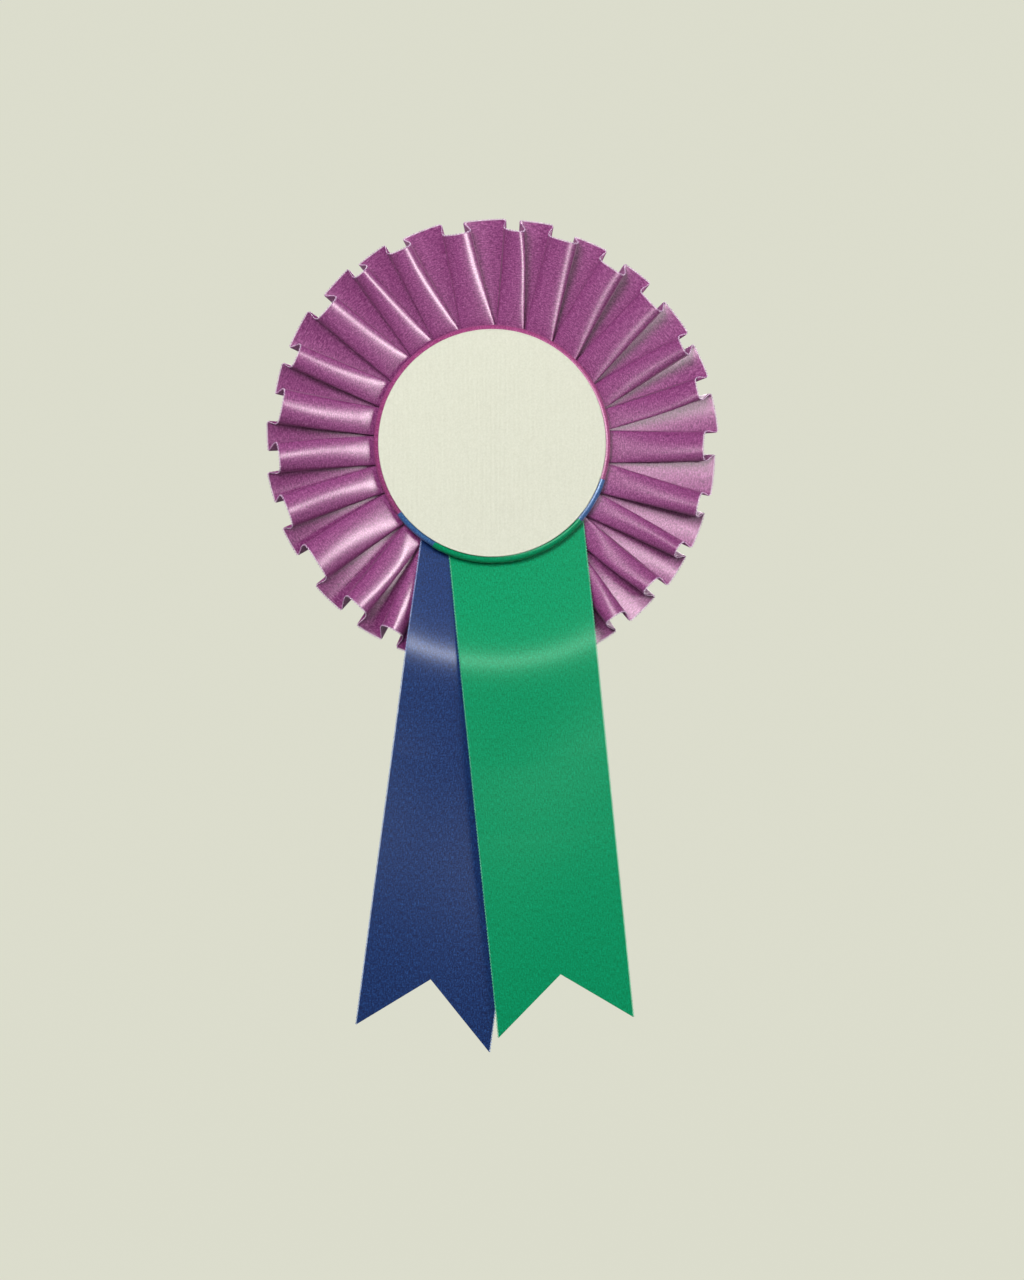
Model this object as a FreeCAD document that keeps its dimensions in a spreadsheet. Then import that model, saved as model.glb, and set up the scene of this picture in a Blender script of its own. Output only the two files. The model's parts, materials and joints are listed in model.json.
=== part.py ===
"""Award rosette: a box-pleated satin head with a tricolour covered button,
two fishtail ribbons in front and a brooch pin behind.

Frame, in millimetres: +X to the right, +Z up, and the face looks towards -Y.
The origin is the middle of the head on the back of the rear card. A depth is
a distance in front of that back, so a point at depth 5 has y = -5.
"""
import FreeCAD, Part
import math
import os
import re

import Sketcher

SIZES = {
    # head
    "ribbon_width": 38.1,
    "ribbon_thickness": 0.3,
    "hole_radius": 25.4,
    "panel_setback": 3.5,
    "pleat_count": 26,
    "panel_angle": 8.6,
    "pleat_stack": 1.6,
    "pleat_lip": 1.2,
    "pleat_dish": 1.6,
    "panel_rise": 8.4,
    # cards behind the pleats
    "foundation_setback": 1.3,
    "foundation_thickness": 0.8,
    "card_gap": 0.6,
    "rear_card_setback": 1.0,
    "rear_card_thickness": 1.0,
    "rear_glue_radius": 14.0,
    # covered button
    "button_overlap": 6.9,
    "core_thickness": 2.0,
    "satin_layer": 0.25,
    "wrap_layers": 3,
    "wrap_width": 4.3,
    "backing_clearance": 0.4,
    "backing_thickness": 0.5,
    "band_tilt": 9.5,
    "blue_band_drop": 15.3,
    "green_band_drop": 25.5,
    "glue_clearance": 3.0,
    # face disc
    "face_setback": 0.55,
    "face_thickness": 0.6,
    # tails
    "tail_gap": 0.1,
    "hinge_clearance": 1.4,
    "tail_clearance": 0.6,
    "seam_gap": 0.1,
    "crest_setback": 2.0,
    "crest_depth": 11.6,
    "crest_bend": 20.0,
    "crest_spread": 0.5,
    "tip_depth": 2.6,
    "tip_spread": 1.6,
    "blue_lean": 7.7,
    "blue_offset": 3.1,
    "blue_length": 167.5,
    "blue_notch": 16.7,
    "blue_slant": 3.9,
    "blue_tab_drop": 9.0,
    "green_lean": 5.8,
    "green_offset": 4.1,
    "green_length": 164.2,
    "green_notch": 15.0,
    "green_slant": -2.9,
    "green_tab_drop": 13.0,
    # staples
    "staple_wire": 0.35,
    "staple_crown": 9.0,
    "pleat_staples": 8,
    "pleat_staple_inset": 2.8,
    "tail_staple_inset": 6.9,
    "tail_staple_spacing": 16.0,
    # brooch
    "brooch_height": 14.0,
    "pad_length": 30.0,
    "pad_width": 4.4,
    "pad_thickness": 0.7,
    "bar_length": 33.0,
    "bar_width": 5.0,
    "bar_thickness": 0.5,
    "needle_height": 2.6,
    "needle_radius": 0.4,
    "shank_width": 1.1,
    "shank_length": 1.2,
    "hinge_reach": 13.5,
    "eye_radius": 1.3,
    "eye_thickness": 1.2,
    "eye_side_play": 0.1,
    "rivet_radius": 0.5,
    "rivet_clearance": 0.05,
    "rivet_grip": 0.02,
    "rivet_head_radius": 0.85,
    "rivet_head": 0.3,
    "tip_length": 5.5,
    "tip_reach": 16.0,
    "tip_radius": 0.08,
    "catch_reach": 13.0,
    "catch_length": 3.2,
    "catch_cheek": 0.4,
    "catch_half_width": 1.5,
    "catch_tube_radius": 1.0,
    "catch_bore_radius": 0.65,
    "catch_slot": 1.0,
    "roller_clearance": 0.06,
    "roller_wall": 0.45,
    "roller_side_play": 0.1,
    "thumb_reach": 2.9,
    "thumb_thickness": 0.4,
    "thumb_angle": 50.0,
}

# Through cuts and trimming blocks reach past a part by these many of its thicknesses.
THROUGH, CLEAR = 4, 8

# Radii about the head's axis, and drops below its centre.
PLEAT_RADIUS = "(hole_radius + ribbon_width)"
PANEL_RADIUS = f"({PLEAT_RADIUS} - panel_setback)"
CORE_RADIUS = "(hole_radius + button_overlap)"
FOUNDATION_RADIUS = f"({CORE_RADIUS} - foundation_setback)"
REAR_CARD_RADIUS = f"({FOUNDATION_RADIUS} - rear_card_setback)"
WRAP_RADIUS = f"({CORE_RADIUS} - wrap_width)"
FACE_RADIUS = f"({CORE_RADIUS} - face_setback)"
STAPLE_RADIUS = "(hole_radius + pleat_staple_inset)"
TAIL_STAPLE_DROP = "(hole_radius - tail_staple_inset)"
HINGE_DROP = f"({CORE_RADIUS} + wrap_layers * satin_layer + hinge_clearance)"
CREST_DROP = f"({PLEAT_RADIUS} - crest_setback)"

# Depths of the layers, from the back of the head to its face.
REAR_CARD = "rear_card_thickness"
FOUNDATION_BACK = f"({REAR_CARD} + card_gap)"
FOUNDATION_FRONT = f"({FOUNDATION_BACK} + foundation_thickness)"
STACK_FRONT = f"({FOUNDATION_FRONT} + pleat_stack)"
BLUE_FRONT = f"({STACK_FRONT} + ribbon_thickness)"
GREEN_BACK = f"({BLUE_FRONT} + tail_gap)"
GREEN_FRONT = f"({GREEN_BACK} + ribbon_thickness)"
BUTTON_BACK = f"({GREEN_FRONT} + tail_gap)"
CORE_BACK = f"({BUTTON_BACK} + wrap_layers * satin_layer)"
CORE_FRONT = f"({CORE_BACK} + core_thickness)"
BUTTON_FRONT = f"({CORE_FRONT} + wrap_layers * satin_layer)"
BACKING_BACK = f"({CORE_BACK} - backing_thickness)"
NEEDLE_OUT = "(pad_thickness + bar_thickness + needle_height)"
BAR_OUT = "(pad_thickness + bar_thickness)"

doc = FreeCAD.newDocument("award_rosette")
sheet = doc.addObject("Spreadsheet::Sheet", "sizes")
for row, (alias, value) in enumerate(SIZES.items(), start=1):
    sheet.set(f"A{row}", alias)
    sheet.set(f"B{row}", str(value))
    sheet.setAlias(f"B{row}", alias)
doc.recompute()

nodes = []


def formula(text):
    """Turn words such as ribbon_width into references to the sheet."""
    return re.sub(r"[a-z]+(?:_[a-z]+)+", lambda word: f"sizes.{word[0]}", text)


def bind(thing, **expressions):
    """Bind properties of an object to formulas of the sheet's sizes."""
    for name, text in expressions.items():
        thing.setExpression(name, formula(text))


def new_body(name):
    """Start a sub-part: a body whose label is the node's name."""
    body = doc.addObject("PartDesign::Body", name)
    body.Label = name
    body.Placement = FreeCAD.Placement()
    nodes.append(body)
    return body


def new_sketch(body, role, offset="0"):
    """Attach a sketch to the body's own origin plane, moved along its normal.

    XZ_Plane sketches face the viewer: their normal is -Y, so offset is a depth.
    """
    plane = next(item for item in body.Origin.OriginFeatures if item.Role == role)
    sketch = body.newObject("Sketcher::SketchObject", f"{body.Name}_outline")
    sketch.AttachmentSupport = [(plane, "")]
    sketch.MapMode = "FlatFace"
    sketch.setExpression("AttachmentOffset.Base.z", formula(offset))
    return sketch


def pin_point(sketch, edge, end, across, up):
    """Place one point of a sketch by its distances from the sketch's origin."""
    for kind, text in (("DistanceX", across), ("DistanceY", up)):
        index = sketch.addConstraint(Sketcher.Constraint(kind, -1, 1, edge, end, 1.0))
        sketch.setExpression(f"Constraints[{index}]", formula(text))


def add_polygon(sketch, corners):
    """Draw a closed polygon whose corners are pairs of formulas."""
    first = sketch.GeometryCount
    count = len(corners)
    turn = 2 * math.pi / count
    start = [FreeCAD.Vector(math.cos(turn * i), math.sin(turn * i), 0) for i in range(count)]
    for i in range(count):
        sketch.addGeometry(Part.LineSegment(start[i], start[(i + 1) % count]), False)
    for i, (across, up) in enumerate(corners):
        before = first + (i - 1) % count
        sketch.addConstraint(Sketcher.Constraint("Coincident", before, 2, first + i, 1))
        pin_point(sketch, first + i, 1, across, up)


def add_circle(sketch, radius, across="0", up="0"):
    """Draw a circle of a bound radius about a bound centre."""
    circle = Part.Circle(FreeCAD.Vector(0, 0, 0), FreeCAD.Vector(0, 0, 1), 1.0)
    index = sketch.addGeometry(circle, False)
    radius_index = sketch.addConstraint(Sketcher.Constraint("Radius", index, 1.0))
    sketch.setExpression(f"Constraints[{radius_index}]", formula(radius))
    pin_point(sketch, index, 3, across, up)


def pad(body, sketch, length, midplane=False, reverse=False):
    """Extrude a sketch along its normal, both ways if midplane is set."""
    feature = body.newObject("PartDesign::Pad", f"{body.Name}_pad")
    feature.Profile = sketch
    feature.SideType = "Symmetric" if midplane else "One side"
    feature.Reversed = reverse
    bind(feature, Length=length)
    return feature


def cut(body, sketch, length):
    """Cut a sketch right through the body, the same way on both sides of its plane."""
    doc.recompute()
    before = body.Shape.Volume
    feature = body.newObject("PartDesign::Pocket", f"{body.Name}_cut")
    feature.Profile = sketch
    feature.SideType = "Symmetric"
    bind(feature, Length=length)
    doc.recompute()
    if body.Shape.Volume >= before:
        raise ValueError(f"a cut in {body.Label} removes nothing")
    return feature


def revolve(body, corners, angle="360"):
    """Turn a (radius, depth) outline about the head's axis, Y."""
    sketch = new_sketch(body, "XY_Plane")
    add_polygon(sketch, [(radius, f"-({depth})") for radius, depth in corners])
    feature = body.newObject("PartDesign::Revolution", f"{body.Name}_turned")
    feature.Profile = sketch
    feature.ReferenceAxis = (sketch, ["V_Axis"])
    feature.Midplane = True
    bind(feature, Angle=angle)
    return feature


def pattern_round(body, feature, count):
    """Repeat a feature evenly about the head's axis, Y."""
    doc.recompute()
    axis = next(item for item in body.Origin.OriginFeatures if item.Role == "Y_Axis")
    pattern = body.newObject("PartDesign::PolarPattern", f"{body.Name}_pattern")
    pattern.Originals = [feature]
    pattern.Axis = (axis, [""])
    pattern.Angle = 360
    bind(pattern, Occurrences=count)
    body.Tip = pattern
    return pattern


def disc(name, radius, back, thickness):
    """Make a flat disc on the head's axis, its back at a depth."""
    body = new_body(name)
    sketch = new_sketch(body, "XZ_Plane", back)
    add_circle(sketch, radius)
    pad(body, sketch, thickness)
    return body


# Cards and glue behind the pleats

def make_cards():
    """Rear card, its glue, and the foundation card that the pleats are stapled to."""
    disc("rear_card", REAR_CARD_RADIUS, "0", "rear_card_thickness")
    disc("rear_glue", "rear_glue_radius", REAR_CARD, "card_gap")
    disc("foundation_card", FOUNDATION_RADIUS, FOUNDATION_BACK, "foundation_thickness")


# Pleated ribbon

def make_pleats():
    """Box pleats as a dished ring of recesses with raised front panels on it.

    The panels lean back down to the stack under the button, and a flat and a
    sloping cut press them down where the two tails lie over them.
    """
    body = new_body("pleated_ribbon")
    lip_back = f"{FOUNDATION_FRONT} + pleat_dish"
    revolve(body, [
        ("hole_radius", FOUNDATION_FRONT),
        (FOUNDATION_RADIUS, FOUNDATION_FRONT),
        (PLEAT_RADIUS, lip_back),
        (PLEAT_RADIUS, f"{lip_back} + pleat_lip"),
        (CORE_RADIUS, STACK_FRONT),
        ("hole_radius", STACK_FRONT),
    ])
    panel = revolve(body, [
        (FOUNDATION_RADIUS, f"{FOUNDATION_FRONT} + pleat_lip / 2"),
        (PANEL_RADIUS, lip_back),
        (PANEL_RADIUS, f"{FOUNDATION_FRONT} + panel_rise"),
        (CORE_RADIUS, STACK_FRONT),
        (FOUNDATION_RADIUS, STACK_FRONT),
    ], "panel_angle")
    pattern_round(body, panel, "pleat_count")

    reach = f"({PLEAT_RADIUS} + pleat_lip)"
    slope = f"(crest_depth - {STACK_FRONT}) / ({CREST_DROP} - {HINGE_DROP})"
    low = f"({STACK_FRONT} - tail_clearance)"
    high = f"{low} + ({reach} - {HINGE_DROP}) * {slope}"
    step = f"seam_gap - {HINGE_DROP} + tail_clearance"
    in_front = "2 * crest_depth"
    relief = new_sketch(body, "YZ_Plane")
    add_polygon(relief, [
        (f"-{in_front}", "-blue_tab_drop"),
        (f"-{STACK_FRONT}", "-blue_tab_drop"),
        (f"-{STACK_FRONT}", step),
        (f"-{low}", step),
        (f"-{low}", f"-{HINGE_DROP}"),
        (f"-({high})", f"-{reach}"),
        (f"-{in_front}", f"-{reach}"),
    ])
    cut(body, relief, PLEAT_RADIUS)


# Staples

def add_staple(body, crown_depth, legs_from, height, shift="0"):
    """Pad one clinched staple: a crown, two legs and two ends folded inwards."""
    half = "staple_crown / 2"
    clinch = "staple_crown / 3"
    back = f"({legs_from} - staple_wire)"
    front = f"({crown_depth} + staple_wire)"
    sketch = new_sketch(body, "XY_Plane", height)
    outline = [
        (f"-{half}", front), (half, front), (half, back), (f"{half} - {clinch}", back),
        (f"{half} - {clinch}", legs_from), (f"{half} - staple_wire", legs_from),
        (f"{half} - staple_wire", crown_depth), (f"staple_wire - {half}", crown_depth),
        (f"staple_wire - {half}", legs_from), (f"{clinch} - {half}", legs_from),
        (f"{clinch} - {half}", back), (f"-{half}", back),
    ]
    add_polygon(sketch, [(f"{across} + {shift}", f"-({depth})") for across, depth in outline])
    return pad(body, sketch, "staple_wire", midplane=True)


def make_staples():
    """Staples through the pleats in a ring, and two through the tails' top ends."""
    ring = new_body("pleat_staples")
    crown = f"{STACK_FRONT} - staple_wire"
    staple = add_staple(ring, crown, FOUNDATION_BACK, STAPLE_RADIUS)
    pattern_round(ring, staple, "pleat_staples")

    pair = new_body("tail_staples")
    for side in ("-", ""):
        shift = f"{side}tail_staple_spacing / 2"
        add_staple(pair, GREEN_FRONT, FOUNDATION_BACK, f"-{TAIL_STAPLE_DROP}", shift)


# Covered button

def below_line(body, drop, length):
    """Cut away what lies above a tilted line, leaving the lower part."""
    sketch = new_sketch(body, "XZ_Plane")
    wide = f"2 * {PLEAT_RADIUS}"
    rise = f"{wide} * tan(band_tilt * 1deg)"
    add_polygon(sketch, [
        (f"-{wide}", f"-{drop} - {rise}"),
        (wide, f"{rise} - {drop}"),
        (wide, wide),
        (f"-{wide}", wide),
    ])
    cut(body, sketch, length)


def satin_shell(name, layer):
    """Satin wrapped round the core: front, edge and a rear lip, layer 0 innermost."""
    body = new_body(name)
    inside = f"{CORE_RADIUS} + {layer} * satin_layer"
    outside = f"{inside} + satin_layer"
    back = f"{CORE_BACK} - {layer} * satin_layer"
    front = f"{CORE_FRONT} + {layer} * satin_layer"
    revolve(body, [
        ("0", f"{front} + satin_layer"), (outside, f"{front} + satin_layer"),
        (outside, f"{back} - satin_layer"), (WRAP_RADIUS, f"{back} - satin_layer"),
        (WRAP_RADIUS, back), (inside, back), (inside, front), ("0", front),
    ])
    return body


def make_button():
    """Board core under a purple cover, with a blue and a green band wrapped over it."""
    disc("foam_pad", "hole_radius", FOUNDATION_FRONT, "pleat_stack")
    disc("button_core", CORE_RADIUS, CORE_BACK, "core_thickness")
    disc("cover_backing", f"{WRAP_RADIUS} - backing_clearance", BACKING_BACK, "backing_thickness")
    satin_shell("button_cover", 0)
    blue = satin_shell("blue_band", 1)
    below_line(blue, "blue_band_drop", f"{CLEAR} * (core_thickness + pleat_stack)")
    green = satin_shell("green_band", 2)
    below_line(green, "green_band_drop", f"{CLEAR} * (core_thickness + pleat_stack)")

    glue = disc("button_glue", f"{STAPLE_RADIUS} - glue_clearance", STACK_FRONT,
                f"{BACKING_BACK} - {STACK_FRONT}")
    wide = f"2 * {PLEAT_RADIUS}"
    tabs = new_sketch(glue, "XZ_Plane")
    top = "glue_clearance - blue_tab_drop"
    add_polygon(tabs, [(f"-{wide}", f"-{wide}"), (wide, f"-{wide}"), (wide, top), (f"-{wide}", top)])
    cut(glue, tabs, PLEAT_RADIUS)


def make_face():
    """Blank card disc on the button, with glue over the part no band covers."""
    glue = disc("face_glue", WRAP_RADIUS, f"{CORE_FRONT} + satin_layer", "2 * satin_layer")
    wide = f"2 * {PLEAT_RADIUS}"
    rise = f"{wide} * tan(band_tilt * 1deg)"
    sketch = new_sketch(glue, "XZ_Plane")
    add_polygon(sketch, [
        (f"-{wide}", f"-blue_band_drop - {rise} + glue_clearance"),
        (f"-{wide}", f"-{wide}"),
        (wide, f"-{wide}"),
        (wide, f"{rise} - blue_band_drop + glue_clearance"),
    ])
    cut(glue, sketch, PLEAT_RADIUS)
    disc("face_disc", FACE_RADIUS, BUTTON_FRONT, "face_thickness")


# Tails

def trim_outline(body, corners):
    """Keep only what lies inside an outline seen from the front."""
    sketch = new_sketch(body, "XZ_Plane")
    far = f"{THROUGH} * (blue_length + green_length)"
    add_polygon(sketch, [(f"-{far}", f"-{far}"), (far, f"-{far}"), (far, far), (f"-{far}", far)])
    add_polygon(sketch, corners)
    cut(body, sketch, f"{CLEAR} * crest_depth")


def tail_place(colour, side, drop, across):
    """Return a point of a tail: drop below the head's centre, across its centre line."""
    lean = f"{side}tan({colour}_lean * 1deg)"
    wide = f"ribbon_width / (2 * cos({colour}_lean * 1deg))"
    return (f"{colour}_offset {lean} * ({drop}) + {across} * {wide}", f"-({drop})")


def make_tab(colour, side, back):
    """Anchored top end of a tail: flat under the button, as far as the bend line."""
    body = new_body(f"{colour}_tail_tab")
    sketch = new_sketch(body, "XZ_Plane", back)
    top = f"{colour}_tab_drop"
    bottom = f"{HINGE_DROP} - seam_gap / 2"
    add_polygon(sketch, [
        tail_place(colour, side, top, -1), tail_place(colour, side, top, 1),
        tail_place(colour, side, bottom, 1), tail_place(colour, side, bottom, -1),
    ])
    pad(body, sketch, "ribbon_thickness")


def make_tail(colour, side, back, layer):
    """Free length of a tail: up over the pleats' edge, down to a fishtail end."""
    body = new_body(f"{colour}_tail")
    crest = f"(crest_depth + {layer} * (ribbon_thickness + crest_spread))"
    tip = f"(tip_depth + {layer} * tip_spread)"
    length = f"{colour}_length"
    low = f"({length} + ribbon_width / 4)"
    profile = new_sketch(body, "YZ_Plane")
    start = f"-{HINGE_DROP} - seam_gap / 2"
    add_polygon(profile, [
        (f"-{back}", start),
        (f"-{crest}", f"-{CREST_DROP}"),
        (f"-{tip}", f"-{low}"),
        (f"-{tip} - ribbon_thickness", f"-{low}"),
        (f"-{crest} - ribbon_thickness", f"-{CREST_DROP}"),
        (f"-{back} - ribbon_thickness", start),
    ])
    pad(body, profile, f"{THROUGH} * ribbon_width", midplane=True)
    round_crest(body, "crest_bend", behind=True)
    round_crest(body, "crest_bend + ribbon_thickness", behind=False)
    trim_outline(body, [
        tail_place(colour, side, f"{HINGE_DROP} - seam_gap", -1),
        tail_place(colour, side, f"{HINGE_DROP} - seam_gap", 1),
        tail_place(colour, side, f"{length} + {colour}_slant", 1),
        tail_place(colour, side, f"{length} - {colour}_notch", 0),
        tail_place(colour, side, f"{length} - {colour}_slant", -1),
    ])


def round_crest(body, radius, behind):
    """Round the bend of the ribbon over the pleats, on its back or its front.

    The crest's front edge is the furthest forward of the edges along X, and its
    back edge comes next.
    """
    doc.recompute()
    bent = body.Tip
    across = sorted(
        (edge.BoundBox.Center.y, f"Edge{number}")
        for number, edge in enumerate(bent.Shape.Edges, start=1)
        if edge.BoundBox.XLength > 0.999 * edge.Length
    )
    name = across[1][1] if behind else across[0][1]
    feature = body.newObject("PartDesign::Fillet", f"{body.Name}_crest")
    feature.Base = (bent, [name])
    bind(feature, Radius=radius)


def make_tails():
    """Blue tail leaning to the left behind a green one leaning to the right."""
    make_tab("blue", "-", STACK_FRONT)
    make_tab("green", "+", GREEN_BACK)
    make_tail("blue", "-", STACK_FRONT, 0)
    make_tail("green", "+", GREEN_BACK, 1)


# Brooch, behind the head: y grows away from the card

def plate(name, half_length, half_width, out, thickness, centre="0"):
    """Make a flat plate level with the brooch, its near face out from the card."""
    body = new_body(name)
    sketch = new_sketch(body, "XZ_Plane", f"-({out}) - ({thickness})")
    left, right = f"{centre} - ({half_length})", f"{centre} + {half_length}"
    low, top = f"brooch_height - {half_width}", f"brooch_height + {half_width}"
    add_polygon(sketch, [(left, low), (right, low), (right, top), (left, top)])
    pad(body, sketch, thickness)
    return body


def round_on_hinge(body, radius, low, thickness):
    """Pad a round boss on the needle's hinge axis, from a height upwards."""
    sketch = new_sketch(body, "XY_Plane", low)
    add_circle(sketch, radius, "hinge_reach", NEEDLE_OUT)
    return pad(body, sketch, thickness)


def make_bar():
    """Brooch bar: a flat strip with two ears that hold the hinge rivet."""
    plate("bar_pad", "pad_length / 2", "pad_width / 2", "0", "pad_thickness")
    body = plate("brooch_bar", "bar_length / 2", "bar_width / 2", "pad_thickness", "bar_thickness")
    inner = "(eye_thickness / 2 + eye_side_play)"
    for low in (f"brooch_height + {inner}", f"brooch_height - {inner} - bar_thickness"):
        ear = new_sketch(body, "XY_Plane", low)
        left, right = "hinge_reach - eye_radius", "hinge_reach + eye_radius"
        top = f"{NEEDLE_OUT} + eye_radius"
        root = "pad_thickness + bar_thickness / 2"
        add_polygon(ear, [(left, root), (right, root), (right, top), (left, top)])
        pad(body, ear, "bar_thickness")
    hole = new_sketch(body, "XY_Plane", "brooch_height")
    add_circle(hole, "rivet_radius + rivet_grip", "hinge_reach", NEEDLE_OUT)
    cut(body, hole, f"{THROUGH} * eye_thickness")

    rivet = new_body("hinge_rivet")
    half = f"({inner} + bar_thickness)"
    round_on_hinge(rivet, "rivet_radius", f"brooch_height - {half}", f"2 * {half}")
    round_on_hinge(rivet, "rivet_head_radius", f"brooch_height + {half}", "rivet_head")
    round_on_hinge(rivet, "rivet_head_radius", f"brooch_height - {half} - rivet_head", "rivet_head")


def make_needle():
    """Needle: an eye on the rivet with a flat shank, a round shaft and a pointed tip."""
    body = new_body("needle")
    eye_low = "brooch_height - eye_thickness / 2"
    round_on_hinge(body, "eye_radius", eye_low, "eye_thickness")
    shank = new_sketch(body, "XY_Plane", eye_low)
    neck = "hinge_reach - eye_radius - shank_length"
    low, top = f"{NEEDLE_OUT} - shank_width / 2", f"{NEEDLE_OUT} + shank_width / 2"
    add_polygon(shank, [(neck, low), ("hinge_reach", low), ("hinge_reach", top), (neck, top)])
    pad(body, shank, "eye_thickness")
    shaft = new_sketch(body, "XY_Plane", "brooch_height")
    root, shoulder = "hinge_reach - eye_radius", "tip_length - tip_reach"
    add_polygon(shaft, [
        (root, NEEDLE_OUT), (root, f"{NEEDLE_OUT} + needle_radius"),
        (shoulder, f"{NEEDLE_OUT} + needle_radius"),
        ("-tip_reach", f"{NEEDLE_OUT} + tip_radius"), ("-tip_reach", NEEDLE_OUT),
    ])
    turned = body.newObject("PartDesign::Revolution", "needle_shaft")
    turned.Profile = shaft
    turned.ReferenceAxis = (shaft, ["Edge5"])
    turned.Angle = 360
    bore = new_sketch(body, "XY_Plane", "brooch_height")
    add_circle(bore, "rivet_radius + rivet_clearance", "hinge_reach", NEEDLE_OUT)
    cut(body, bore, f"{THROUGH} * eye_thickness")


def on_catch(body, offset="0"):
    """Start a sketch across the catch's axis, offset along it from its middle."""
    return new_sketch(body, "YZ_Plane", f"{offset} - catch_reach")


def cut_slot(body, radius, half_length):
    """Cut the slot that the needle swings out through, facing away from the card."""
    slot = on_catch(body)
    low, top = "brooch_height - catch_slot / 2", "brooch_height + catch_slot / 2"
    far = f"{NEEDLE_OUT} + 2 * {radius}"
    add_polygon(slot, [(NEEDLE_OUT, low), (far, low), (far, top), (NEEDLE_OUT, top)])
    cut(body, slot, f"{THROUGH} * {half_length}")


def make_catch():
    """Catch: a slotted tube between two cheeks, and the sleeve that rolls on it."""
    body = plate("catch_housing", "catch_length / 2", "catch_half_width", BAR_OUT,
                 "catch_cheek", "-catch_reach")
    inner = "(catch_length / 2 - catch_cheek)"
    low, top = "brooch_height - catch_half_width", "brooch_height + catch_half_width"
    for start in (f"-{inner} - catch_cheek", inner):
        cheek = on_catch(body, start)
        far = f"{NEEDLE_OUT} + catch_half_width"
        add_polygon(cheek, [(BAR_OUT, low), (far, low), (far, top), (BAR_OUT, top)])
        pad(body, cheek, "catch_cheek")
    tube = on_catch(body)
    add_circle(tube, "catch_tube_radius", NEEDLE_OUT, "brooch_height")
    pad(body, tube, "catch_length - catch_cheek", midplane=True)
    bore = on_catch(body)
    add_circle(bore, "catch_bore_radius", NEEDLE_OUT, "brooch_height")
    cut(body, bore, f"{THROUGH} * catch_length")
    cut_slot(body, "catch_half_width", "catch_length")

    roller = new_body("catch_roller")
    sleeve = on_catch(roller)
    outer = "(catch_tube_radius + roller_clearance + roller_wall)"
    width = f"2 * ({inner} - roller_side_play)"
    add_circle(sleeve, outer, NEEDLE_OUT, "brooch_height")
    pad(roller, sleeve, width, midplane=True)
    tab = on_catch(roller)
    along = ("cos(thumb_angle * 1deg)", "-sin(thumb_angle * 1deg)")
    side = ("sin(thumb_angle * 1deg)", "cos(thumb_angle * 1deg)")
    corners = []
    for reach, turn in ((outer, -1), ("thumb_reach", -1), ("thumb_reach", 1), (outer, 1)):
        start = f"({reach})" if reach == "thumb_reach" else f"({reach} - roller_wall / 2)"
        corners.append(tuple(
            f"{base} + {start} * {along[i]} + {turn} * thumb_thickness / 2 * {side[i]}"
            for i, base in enumerate((NEEDLE_OUT, "brooch_height"))
        ))
    add_polygon(tab, corners)
    pad(roller, tab, width, midplane=True)
    bore = on_catch(roller)
    add_circle(bore, "catch_tube_radius + roller_clearance", NEEDLE_OUT, "brooch_height")
    cut(roller, bore, f"{THROUGH} * catch_length")
    cut_slot(roller, outer, "catch_length")


make_cards()
make_pleats()
make_staples()
make_button()
make_face()
make_tails()
make_bar()
make_needle()
make_catch()
doc.recompute()

for item in doc.Objects:
    if "Invalid" in item.State or "Error" in item.State:
        raise ValueError(f"{item.Name} failed: {item.State}")
for node in nodes:
    if node.Shape.isNull() or not node.Shape.isValid():
        raise ValueError(f"{node.Label} has no sound shape")

os.makedirs("parts", exist_ok=True)
for node in nodes:
    node.Shape.exportStep(f"parts/{node.Label}.step")
    box = node.Shape.BoundBox
    print(f"{node.Label}: {len(node.Shape.Solids)} solid(s), {node.Shape.Volume:.2f} mm3,"
          f" x {box.XMin:.1f}..{box.XMax:.1f} y {box.YMin:.1f}..{box.YMax:.1f}"
          f" z {box.ZMin:.1f}..{box.ZMax:.1f}")
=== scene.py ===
# %% [markdown]
# # Award rosette
#
# A pleated satin head, a tricolour covered button with a blank card face, two
# fishtail ribbons and a brooch on the back. The solid parts come from the CAD
# model and this lesson makes the cloth. Everything is in metres, in the CAD model's frame:
# +X right, +Z up, and the face looks towards -Y.
#
# Cloth surfaces are worked out as whole numpy arrays: a shape is a function of
# two parameters on a grid, so a fold or a wave is one line of arithmetic.

# %% Load the frame
import json
import math

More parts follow.
